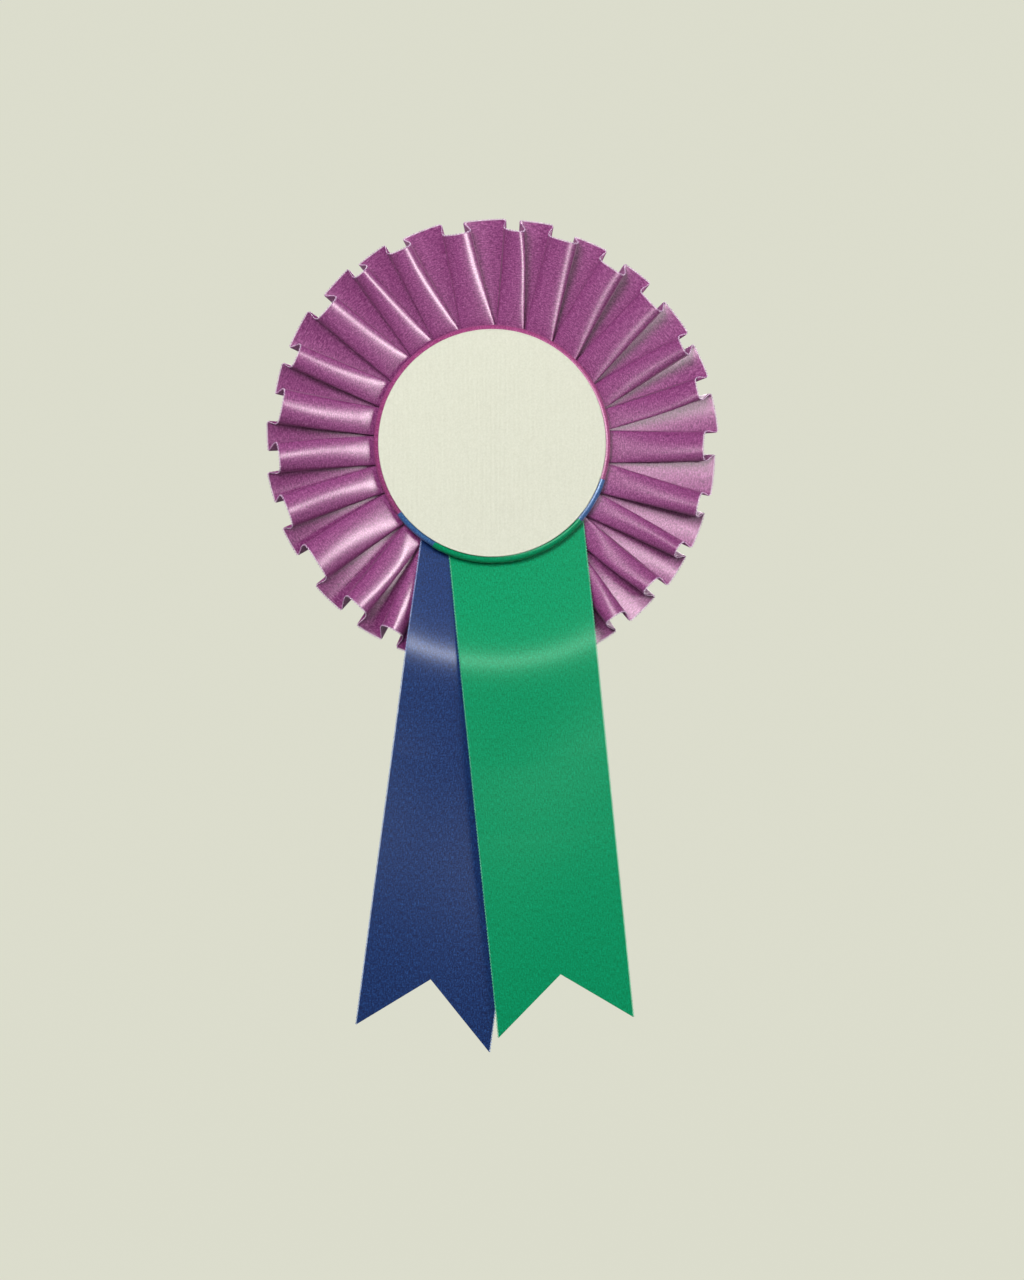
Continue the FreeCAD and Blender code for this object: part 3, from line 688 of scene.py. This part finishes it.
def smooth(value):
    """Ease from 0 to 1 with level ends."""
    value = np.clip(value, 0, 1)
    return value * value * (3 - 2 * value)


x, z = plan[..., 0], plan[..., 1]
drop = np.maximum(-z, 0)
blue_left = BLUE_OFFSET - drop * math.tan(BLUE_LEAN) - EDGE_X / math.cos(BLUE_LEAN)
green_right = GREEN_OFFSET + drop * math.tan(GREEN_LEAN) + EDGE_X / math.cos(GREEN_LEAN)
outside = np.maximum(blue_left - x, x - green_right)
pressed = (1 - smooth((outside + 0.5) / 6.0)) * smooth((-z - 18) / 6.0)
away = np.hypot(x, z)
room = blue_depth(x, z) - 0.75 - STACK_BACK
climb = np.clip((away - tuck_radius) / (60.5 - tuck_radius), 0, 1)
full = 3.9 + 2.9 * climb ** 0.88 + 4.4 * (0.16 + 0.84 * climb ** 0.7) - STACK_BACK
squash = 1 - pressed * (1 - np.clip(room / full, 0.1, 1))
depth = STACK_BACK + 0.15 + (depth - STACK_BACK - 0.15) * squash
print(f"pleats pressed to {squash.min():.2f} of their height under the tails")

# %% [markdown]
# Close to the button the satin puckers in ripples about 5 mm long, and further
# out each panel has a slow dip from handling. The strip's flat place is the
# running length along it, averaged over its width. The ribbon doesn't stretch,
# so it was cut as long as its longest line, the outer edge. A real one has that
# length at the hole too, in folds that overlap deeper than these do.

# %% Pucker the pleats and mesh them
along_ripple = np.sin(away * 1.15 + 5.0 * np.sin(pleat_number * 2.4)[:, None])
pucker = 0.10 * along_ripple * smooth((44 - away) / 9) * outer_part ** 0.3
tired = 0.28 * np.sin(0.21 * away + 1.7 * pleat_number[:, None]) * outer_part
depth = depth + (pucker + tired) * puff[:, None] * squash

pleat_points = np.stack([x, -depth, z], axis=2)
flat_along = lengths_along(pleat_points)
closing_step = np.linalg.norm(pleat_points[0] - pleat_points[-1], axis=1).mean()
mean_length = flat_along[-1] + closing_step
flat_along = np.append(flat_along, mean_length)[:, None] * np.ones(len(width_share))
flat_across = np.ones((len(flat_along), 1)) * width_share * RIBBON_WIDTH
pleats = cloth_grid("pleated_satin", pleat_points, flat_across, flat_along, purple_satin,
                    ring=True)
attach(pleats, "rosette")
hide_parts("pleated_ribbon")

# %% [markdown]
# ## Selvedge
#
# A woven edge isn't cut: the weft turns back there in tiny loops, about 0.85 mm
# apart. They show as a dotted line along every edge of this ribbon. A thin
# thread carried along the edge in small scallops makes them.

# %% Selvedge loops
LOOP_PITCH = 0.85
LOOP_REACH = 0.36
LOOP_RADIUS = 0.13
LOOP_SINK = 0.04      # how far the thread's line starts inside the cloth's edge
STEPS_A_LOOP = 6


def scalloped_edge(name, edge, outward, material, closed=False):
    """Lay a thread along an edge, its distance out a raised cosine of its length."""
    ends = np.concatenate([edge, edge[:1]]) if closed else edge
    out_ends = np.concatenate([outward, outward[:1]]) if closed else outward
    length = np.concatenate([[0], np.cumsum(np.linalg.norm(np.diff(ends, axis=0), axis=1))])
    loops = round(length[-1] / LOOP_PITCH)
    places = np.linspace(0, length[-1], loops * STEPS_A_LOOP, endpoint=not closed)
    path = np.stack([np.interp(places, length, ends[:, k]) for k in range(3)], axis=1)
    out = unit(np.stack([np.interp(places, length, out_ends[:, k]) for k in range(3)], axis=1))
    swing = 0.5 - 0.5 * np.cos(2 * np.pi * loops * places / length[-1])
    path = path + out * (LOOP_REACH * swing - LOOP_SINK)[:, None]
    return tube(name, path, out, LOOP_RADIUS, material, closed, sides=5)


edge_outward = unit(pleat_points[:, -1] - pleat_points[:, -2])
edge_middle = pleat_points[:, -1] + np.array([0, CLOTH / 2, 0])
pleat_selvedge = scalloped_edge("pleat_selvedge", edge_middle, edge_outward, purple_yarn,
                                closed=True)
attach(pleat_selvedge, "rosette")
print("pleat selvedge:", len(pleat_selvedge.data.polygons), "faces")

# %% [markdown]
# ## The two tails
#
# A tail is a strip of the same ribbon with a fishtail cut. Its grid runs across
# the ribbon and down it, and each column stops where the scissors went, so the
# cut is a true edge. The blue tail is one piece. The green tail has the joint of
# the blue one behind it, so it is two pieces that meet at the bend line.

# %% Tails
def tail_grid(side_lean, offset, top, bottom, columns, row_step, depth_of):
    """Points of a strip between two drops below the head's centre.

    Across the strip a share c runs from -1 to 1; down it, each column goes from
    its top to its bottom drop. x = offset + drop * tan(lean) + c * half width.
    """
    c = hold_edges(np.linspace(-1, 1, columns), 0.006)
    rows = int(np.max(bottom(c) - top(c)) / row_step) + 1
    t = hold_edges(np.linspace(0, 1, rows), 0.1 / np.max(bottom(c) - top(c)))[:, None]
    fallen = top(c) + (bottom(c) - top(c)) * t
    place_x = offset + fallen * math.tan(side_lean) + c * EDGE_X / math.cos(side_lean)
    points = np.stack([place_x, -depth_of(place_x, -fallen), -fallen], axis=2)
    across = np.broadcast_to((c + 1) * EDGE_X, fallen.shape)
    return points, across, fallen / math.cos(side_lean)


def fishtail(length, notch, slant):
    """Bottom drop of each column: a straight slant with a V cut up into it."""
    return lambda c: length + slant * c - notch * (1 - np.abs(c))


def level(drop):
    """A straight horizontal end."""
    return lambda c: np.full_like(c, drop)


def sew_tail(name, grid, material, yarn, node_names):
    """Mesh a tail, with thickness and a selvedge down both edges."""
    points, across, along = grid
    piece = cloth_grid(name, points, across, along, material)
    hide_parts(*node_names)
    edges = []
    for label, column, inner in (("left", 0, 1), ("right", -1, -2)):
        out = unit(points[:, column] - points[:, inner])
        middle = points[:, column] + np.array([0, CLOTH / 2, 0])
        edge = scalloped_edge(f"{name}_{label}_selvedge", middle, out, yarn)
        edges.append(edge)
    return piece, edges


# %% [markdown]
# The numbers are drops below the head's centre in mm: where a tail starts under
# the button, how low its tips reach, how deep its notch is cut and how much the
# cut slants.

# %% Sew the tails
BLUE_TOP, BLUE_LENGTH, BLUE_NOTCH, BLUE_SLANT = 9.0, 167.5, 16.7, 3.9
GREEN_TOP, GREEN_LENGTH, GREEN_NOTCH, GREEN_SLANT = 13.0, 164.2, 15.0, -2.9
COLUMNS, ROW_STEP = 29, 0.9


def bend_between(pieces):
    """Bake each piece's placement into its mesh."""
    for piece in pieces:
        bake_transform(piece)


blue_end = fishtail(BLUE_LENGTH, BLUE_NOTCH, BLUE_SLANT)
green_end = fishtail(GREEN_LENGTH, GREEN_NOTCH, GREEN_SLANT)
blue_grid = tail_grid(-BLUE_LEAN, BLUE_OFFSET, level(BLUE_TOP), blue_end, COLUMNS, ROW_STEP,
                      blue_depth)
blue_tail, blue_edges = sew_tail("blue_satin_tail", blue_grid, blue_satin, blue_yarn,
                                 ["blue_tail", "blue_tail_tab"])
bend_between([blue_tail, *blue_edges])

green_top_grid = tail_grid(GREEN_LEAN, GREEN_OFFSET, level(GREEN_TOP), level(HINGE_DROP),
                           COLUMNS, ROW_STEP, green_depth)
green_grid = tail_grid(GREEN_LEAN, GREEN_OFFSET, level(HINGE_DROP), green_end, COLUMNS,
                       ROW_STEP, green_depth)
green_top, green_top_edges = sew_tail("green_satin_top", green_top_grid, green_satin, green_yarn,
                                      ["green_tail_tab"])
green_tail, green_edges = sew_tail("green_satin_tail", green_grid, green_satin, green_yarn,
                                   ["green_tail"])
bend_between([green_top, *green_top_edges])
bend_between([green_tail, *green_edges])


print("tails:", blue_grid[0].shape, green_grid[0].shape)

# %% [markdown]
# ## Covered button
#
# A round board is covered in purple satin drawn to the back. Strips of blue and
# then green ribbon are wrapped over its lower part, so only the edge shows them
# round the card face. The cover is a profile turned about the head's axis: flat
# front, rolled edge, side, rolled back and rear lip. The cloth gathers towards
# the back, so the radius gets a ripple that grows from the front edge.

# %% Cover profile
GATHERS, GATHER_RISE = 84, 0.10
WRAP_STEPS = 34
FLAT_STEPS = 8
RIM_SWELL = 0.75      # how far the padded edge stands past the board


def cover_profile(layer):
    """Radius and depth down the cover, from the front to the rear lip."""
    roll, out = 1.45, BUTTON_RADIUS + RIM_SWELL + layer
    turn = np.linspace(0, np.pi / 2, 9)
    front, back = COVER_FRONT + layer, COVER_BACK - layer
    radius = np.concatenate([
        np.linspace(HOLE_RADIUS, out - roll, FLAT_STEPS), out - roll + roll * np.sin(turn[1:]),
        [out, out], out - 0.7 + 0.7 * np.cos(turn[1:]), np.linspace(out - 1.4, out - 4.2, 5),
    ])
    place = np.concatenate([
        np.full(FLAT_STEPS, front), front - roll + roll * np.cos(turn[1:]),
        [front - roll - 0.25, front - roll - 0.5], back + 0.7 - 0.7 * np.sin(turn[1:]),
        np.full(5, back),
    ])
    return radius, place


def cover_grid(angles, layer, start_radius):
    """Turn the profile through angles in degrees, clockwise from the top.

    At each angle the cloth runs along the profile from its start radius to the
    rear lip, in equal steps of the profile's own length.
    """
    radius, place = cover_profile(layer)
    run = np.concatenate([[0], np.cumsum(np.hypot(np.diff(radius), np.diff(place)))])
    start = np.interp(start_radius, radius[:FLAT_STEPS], run[:FLAT_STEPS])[:, None]
    went = start + (run[-1] - start) * hold_edges(np.linspace(0, 1, WRAP_STEPS), 0.01)[None, :]
    radius = np.interp(went.ravel(), run, radius).reshape(went.shape)
    place = np.interp(went.ravel(), run, place).reshape(went.shape)
    behind = smooth((COVER_FRONT - 0.6 - place) / (COVER_FRONT - COVER_BACK))
    phase = np.radians(angles)[:, None]
    ripple = np.cos(GATHERS * phase + 1.7 * np.sin(5 * phase)) * (0.6 + 0.4 * np.sin(11 * phase))
    radius = radius + GATHER_RISE * ripple * behind
    points = np.stack([radius * np.sin(phase), -place, radius * np.cos(phase)], axis=2)
    return points, went


def cover_piece(name, angles, layer, material, start_radius, ring=False):
    """Mesh a wrapped piece, its threads running across the button's edge."""
    points, went = cover_grid(angles, layer, start_radius)
    turns = np.append(angles, 360.0) if ring else angles
    across = np.radians(turns)[:, None] * BUTTON_RADIUS * np.ones(went.shape[1])
    along = np.concatenate([went, went[:1]]) if ring else went
    return cloth_grid(name, points, across, along, material, ring), points


cover_angles = np.linspace(0, 360, 720, endpoint=False)
cover, cover_points = cover_piece("purple_button_cover", cover_angles, 0.0, painted_light_purple_rim,
                                  np.full(len(cover_angles), HOLE_RADIUS), ring=True)
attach(cover, "rosette")
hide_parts("button_cover")
print("button cover:", len(cover.data.polygons), "faces")

# %% [markdown]
# A band is the same wrap over part of the turn. Its top edge is a straight line
# across the button, tilted a little, so the angles where that line meets the
# edge are the band's ends. Each band lies 0.2 mm outside the layer under it.

# %% Bands across the lower part of the button
BAND_TILT = 9.5
BLUE_DROP, GREEN_DROP = 15.3, 25.5
LAYER = 0.2


def band_angles(drop_below, layer):
    """Angles where a tilted line, drop_below the centre, meets the button's edge."""
    half = math.degrees(math.acos(drop_below * math.cos(math.radians(BAND_TILT)) / BUTTON_RADIUS))
    middle = 180 - BAND_TILT
    return hold_edges(np.linspace(middle - half, middle + half, int(half * 4)), 0.15), middle


def make_band(name, node, drop_below, layer, material):
    """A ribbon strip over the button's front, its top edge on the tilted line."""
    angles, middle = band_angles(drop_below, layer)
    from_centre = drop_below * math.cos(math.radians(BAND_TILT))
    start = from_centre / np.cos(np.radians(angles - middle))
    start = np.clip(start, HOLE_RADIUS, BUTTON_RADIUS + RIM_SWELL + layer - 1.5)
    band, points = cover_piece(name, angles, layer, material, start)
    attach(band, "rosette")
    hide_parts(node)
    return band, points


blue_band, blue_points = make_band("blue_button_band", "blue_band", BLUE_DROP, LAYER,
                                   painted_light_blue_rim)
green_band, green_points = make_band("green_button_band", "green_band", GREEN_DROP, 2 * LAYER,
                                     green_satin)
print("bands:", blue_points.shape, green_points.shape)

# %% [markdown]
# ## Card face
#
# The blank face is a disc of laid card, embossed with upright ribs 1.3 mm apart
# and die cut, which turns its edge down slightly. A polar grid carries the ribs
# as real relief: depth falls off at the rim as a quarter circle. A rib is a
# cosine across the card, so it is twice as deep as the cosine's own height.

# %% Ribbed card disc
RIB_PITCH, RIB_SWING, EDGE_ROLL = 1.3, 0.07, 0.3


def make_face():
    """Polar grid of radius and angle; front, edge and back as one closed skin."""
    inner = np.concatenate([[0.0], np.linspace(0.35, FACE_RADIUS - EDGE_ROLL, 92)])
    turn = np.linspace(0, np.pi / 2, 6)[1:]
    radius = np.concatenate([inner, FACE_RADIUS - EDGE_ROLL + EDGE_ROLL * np.sin(turn),
                             [FACE_RADIUS, FACE_RADIUS - 2.0, 0.0]])
    place = np.concatenate([np.full(len(inner), FACE_FRONT),
                            FACE_FRONT - EDGE_ROLL + EDGE_ROLL * np.cos(turn),
                            [FACE_BACK, FACE_BACK, FACE_BACK]])
    angle = np.linspace(0, 2 * np.pi, 480, endpoint=False)[:, None]
    x, z = radius * np.sin(angle), radius * np.cos(angle)
    relief = RIB_SWING * (np.cos(2 * np.pi * x / RIB_PITCH) - 1) * (place > FACE_FRONT - 0.01)
    points = np.stack([x, -(place + relief), z], axis=2)
    rows, columns = x.shape
    index = np.arange((rows + 1) * columns).reshape(rows + 1, columns) % (rows * columns)
    quads = np.stack([index[:-1, 1:-2], index[1:, 1:-2], index[1:, 2:-1], index[:-1, 2:-1]],
                     axis=-1)
    centre, rear = 0, columns - 1
    caps = [np.stack([np.full(rows, centre), index[1:, 1], index[:-1, 1]], axis=1),
            np.stack([index[:-1, -2], index[1:, -2], np.full(rows, rear)], axis=1)]
    faces = quads.reshape(-1, 4).tolist() + caps[0].tolist() + caps[1].tolist()
    return points.reshape(-1, 3), faces


def keep_used(points, faces):
    """Drop points that no face uses and renumber the faces."""
    used = np.unique(np.concatenate([np.asarray(face) for face in faces]))
    number = np.full(len(points), -1)
    number[used] = np.arange(len(used))
    return points[used], [number[face].tolist() for face in faces]


# %% [markdown]
# ## Card, board, paper, foam and glue
#
# Card and paper are felted fibres with no gloss: the eye sees a faint mottle and
# a soft tooth. Foam tape and wadding are made of cells and loops, so their bump
# is deeper and finer. All of them are one recipe with a fibre size in mm. Hot
# glue is a cloudy resin that lets some light in.

# %% Card, board, paper, foam and glue materials
def make_board(name, dark, light, fibre, roughness=0.85, relief=0.25):
    """Card or board: soft fibre mottle in colour and bump; fibre is its size in mm."""
    material, tree, surface = new_material(name, Roughness=roughness, Specular_IOR_Level=0.3)
    place = add_node(tree, "ShaderNodeTexCoord").outputs["Object"]
    mottle = add_node(tree, "ShaderNodeTexNoise", {"Vector": place},
                      Scale=1 / (fibre * MM), Detail=6.0, Roughness=0.65)
    colour = colour_steps(tree, mottle.outputs["Fac"], [(0.3, dark), (0.7, light)])
    tree.links.new(colour, surface.inputs["Base Color"])
    bump = add_node(tree, "ShaderNodeBump", {"Height": mottle.outputs["Fac"]},
                    Strength=relief, Distance=0.1 * MM)
    tree.links.new(bump.outputs["Normal"], surface.inputs["Normal"])
    return material


# Laid card is pressed on a ribbed roll, and its ribs are in the mesh. Chipboard
# is repulped waste: grey, coarse and rough. Fibre sizes are 0.25 to 1.2 mm.
cream_card = make_board("cream_laid_card", "BBBCAB", "C7C8B8", 0.5)
white_card = make_board("white_mounting_card", "DCDAD2", "EFEDE6", 1.2)
grey_board = make_board("grey_chipboard", "8E8A80", "B3AFA4", 0.8, 0.9, 0.5)
backing_paper = make_board("white_backing_paper", "DEDCD5", "F2F0EA", 0.9)
foam_tape = make_board("white_foam_tape", "D4D4CE", "EDEDE8", 0.35, 0.75, 0.8)
wadding = make_board("polyester_wadding", "DADAD6", "F4F4F0", 0.25, 0.95, 1.0)


GLUE_HAZE = 2.5 * MM


def make_glue():
    """Hot melt: a cloudy honey resin, its haze drifting over a few millimetres."""
    material, tree, surface = new_material("hot_melt_glue", Roughness=0.28,
                                           Transmission_Weight=0.35, IOR=1.5)
    place = add_node(tree, "ShaderNodeTexCoord").outputs["Object"]
    haze = add_node(tree, "ShaderNodeTexNoise", {"Vector": place},
                    Scale=1 / GLUE_HAZE, Detail=2.0, Roughness=0.5)
    colour = colour_steps(tree, haze.outputs["Fac"], [(0.35, "CDBF98"), (0.65, "E8E0C6")])
    tree.links.new(colour, surface.inputs["Base Color"])
    return material


hot_glue = make_glue()
print("card, board, paper, foam, wadding and glue")

# %% [markdown]
# ## Plated steel
#
# The brooch is stamped steel, nickel plated by barrel tumbling, so it is bright
# with faint random scuffs. The needle is drawn wire: its scratches run along it.
# Metal colour is its base colour at full metallic, with the default IOR.

# %% Steel materials
SCUFF = 0.6 * MM


def make_steel(name, dark, light, low, high, stretch):
    """Plated steel: scuffs vary colour and roughness; stretch lengthens them along X."""
    material, tree, surface = new_material(name, Metallic=1.0)
    place = add_node(tree, "ShaderNodeTexCoord").outputs["Object"]
    mapped = add_node(tree, "ShaderNodeMapping", {"Vector": place},
                      Scale=(1 / stretch, 1.0, 1.0)).outputs[0]
    scuff = add_node(tree, "ShaderNodeTexNoise", {"Vector": mapped},
                     Scale=1 / SCUFF, Detail=5.0, Roughness=0.6)
    colour = colour_steps(tree, scuff.outputs["Fac"], [(0.3, dark), (0.7, light)])
    tree.links.new(colour, surface.inputs["Base Color"])
    shine = add_node(tree, "ShaderNodeMapRange", {"Value": scuff.outputs["Fac"]},
                     From_Min=0.3, From_Max=0.7, To_Min=low, To_Max=high)
    tree.links.new(shine.outputs["Result"], surface.inputs["Roughness"])
    bump = add_node(tree, "ShaderNodeBump", {"Height": scuff.outputs["Fac"]},
                    Strength=0.15, Distance=0.02 * MM)
    tree.links.new(bump.outputs["Normal"], surface.inputs["Normal"])
    return material


nickel_steel = make_steel("nickel_plated_steel", "B9B5AC", "DAD6CC", 0.18, 0.36, 1.0)
needle_steel = make_steel("drawn_steel_wire", "B0B2B4", "D4D6D8", 0.14, 0.28, 12.0)

# %% Put the card face in place
face = new_piece("card_face", *keep_used(*make_face()), cream_card)
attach(face, "rosette")
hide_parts("face_disc")
print("card face:", len(face.data.polygons), "faces")

# %% [markdown]
# ## Hard parts with eased edges
#
# The cards are die cut and the brooch is stamped, so no edge is perfectly sharp.
# A CAD node's mesh is loose triangles that a bevel can't run along. So a copy is
# welded and its flat areas joined, and a small bevel eases its corners.

# %% Eased copies of the hard parts
WELD = 0.001 * MM
FLAT_ANGLE, CORNER_ANGLE = math.radians(0.5), math.radians(35)


def eased(node, name, body, material, width, segments=2):
    """Copy a CAD node, weld it, join its flat areas and bevel edges over 35 degrees."""
    source = frame["nodes"][node]
    mesh = source.data.copy()
    mesh.name = name
    mesh.transform(source.matrix_world)
    work = bmesh.new()
    work.from_mesh(mesh)
    bmesh.ops.remove_doubles(work, verts=work.verts, dist=WELD)
    bmesh.ops.dissolve_limit(work, angle_limit=FLAT_ANGLE, verts=work.verts, edges=work.edges)
    bmesh.ops.recalc_face_normals(work, faces=work.faces)
    work.to_mesh(mesh)
    work.free()
    mesh.materials.clear()
    mesh.materials.append(material)
    mesh.polygons.foreach_set("use_smooth", np.ones(len(mesh.polygons), bool))
    piece = bpy.data.objects.new(name, mesh)
    bpy.context.scene.collection.objects.link(piece)
    ease = piece.modifiers.new("eased_edge", "BEVEL")
    ease.width = width * MM
    ease.segments = segments
    ease.limit_method = "ANGLE"
    ease.angle_limit = CORNER_ANGLE
    ease.harden_normals = True
    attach(piece, body)
    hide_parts(node)
    print(name, len(mesh.polygons), "faces before its bevel")


for node, name, body, material, slot, width in (
    ("rear_card", "rear_card_round", "rosette", white_card, "white_card", 0.15),
    ("foundation_card", "foundation_board", "rosette", grey_board, "grey_board", 0.12),
    ("bar_pad", "brooch_foam_pad", "rosette", foam_tape, "foam_tape", 0.12),
    ("brooch_bar", "brooch_plate", "rosette", nickel_steel, "nickel_steel", 0.1),
    ("catch_housing", "brooch_catch", "rosette", nickel_steel, "nickel_steel", 0.05),
    ("catch_roller", "catch_sleeve", "catch_roller", nickel_steel, "nickel_steel", 0.05),
    ("hinge_rivet", "brooch_rivet", "rosette", nickel_steel, "nickel_steel", 0.06),
    ("needle", "brooch_needle", "needle", needle_steel, "needle_steel", 0.05),
):
    eased(node, name, body, material, width)

# %% [markdown]
# ## Nodes that stay as they are
#
# Glue, staples, wadding, the button's board and its paper lie inside the
# rosette, out of sight. So their plain CAD shapes stay, and they only get the
# finish of the real thing.

# %% Finishes for the nodes that stay as they are
STAYING = {
    "rear_glue": hot_glue, "button_glue": hot_glue, "face_glue": hot_glue,
    "button_core": grey_board, "foam_pad": wadding, "cover_backing": backing_paper,
    "pleat_staples": nickel_steel, "tail_staples": nickel_steel,
}
for node, material in STAYING.items():
    carried = frame["nodes"][node]
    carried.data.materials.clear()
    carried.data.materials.append(material)
print("nodes with new finishes:", sorted(STAYING))

# %% [markdown]
# ## Wraps
#
# Each wrap is a cloth cut to a rectangle and pulled tight over the edge. Only its
# rim and a lip on each side are modelled, as the rest lies between the card and
# its backing, so the area is that of the modelled part.

# %% [markdown]
# ## Size
#
# The last cell prints how far the finished model reaches past the CAD box, so the
# two can be compared.

# %% Size and finish
visual_box = [list(map(float, corner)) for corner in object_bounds()]
grown = (np.array(visual_box) - np.array(cad_box)) / MM
print("model past the CAD box in mm:", np.round(grown, 2).tolist())
